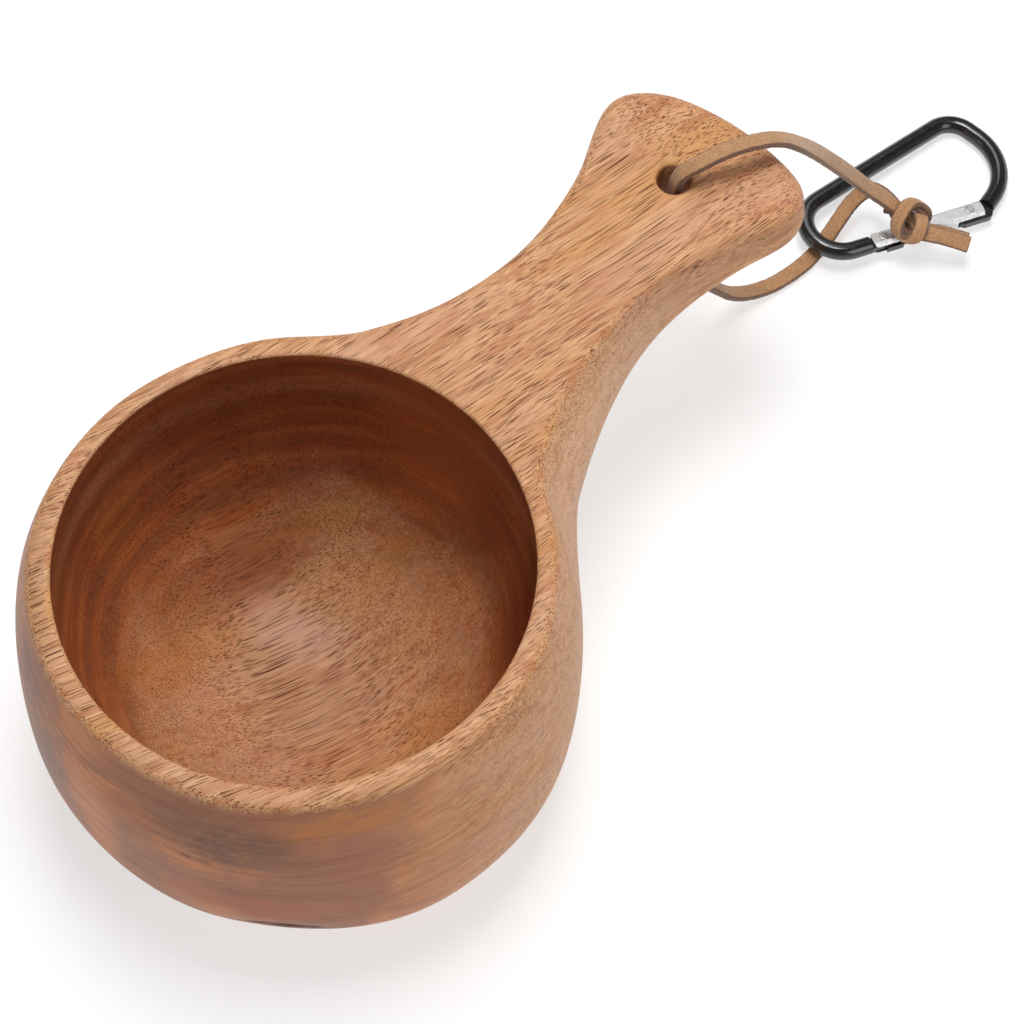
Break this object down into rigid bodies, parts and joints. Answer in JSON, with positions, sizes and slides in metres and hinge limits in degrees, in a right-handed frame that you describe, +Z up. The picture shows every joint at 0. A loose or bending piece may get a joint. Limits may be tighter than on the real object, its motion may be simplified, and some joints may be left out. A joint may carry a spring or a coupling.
{
  "type": "wooden cup",
  "caption": "Carved wooden drinking cup with a round bowl and flat drilled handle, a suede lace knotted through the handle, and a small spring-gate carabiner.",
  "frame": {"origin": "middle of the cup's flat foot, on the axis of the bowl", "axes": "+Z up through the bowl's mouth, +X along the handle towards its end, +Y to the left when looking along the handle"},
  "size_m": [0.2389, 0.1024, 0.0649],
  "materials": {
    "oiled_wood": "oiled, satin",
    "suede": "napped suede",
    "black_anodised_aluminium": "glossy black anodised",
    "bare_aluminium": "bright tumbled",
    "pin_steel": "plated",
    "spring_steel": "drawn wire"
  },
  "bodies": {
    "cup": {"wooden_cup": "oiled_wood", "lace_upper_strand": "suede", "lace_lower_strand": "suede", "lace_knot": "suede", "lace_tails": "suede"},
    "carabiner": {"carabiner_body": "black_anodised_aluminium"},
    "gate": {"carabiner_gate": "bare_aluminium", "gate_hinge_pin": "pin_steel", "gate_latch_pin": "pin_steel", "gate_spring": "spring_steel", "spring_plunger": "pin_steel"}
  },
  "joints": [
    {"name": "carabiner_slide", "type": "slide", "parent": "cup", "child": "carabiner", "axis": [-0.9732, 0.23, 0], "range_m": [0, 0.01]},
    {"name": "gate_hinge", "type": "hinge", "parent": "carabiner", "child": "gate", "pos_m": [0.15123, -0.02114, 0.00384], "axis": [0.0564, -0.0133, 0.9983], "range_deg": [0, 28], "stiffness_Nm_per_rad": 0.02, "springref_deg": -20.05}
  ]
}
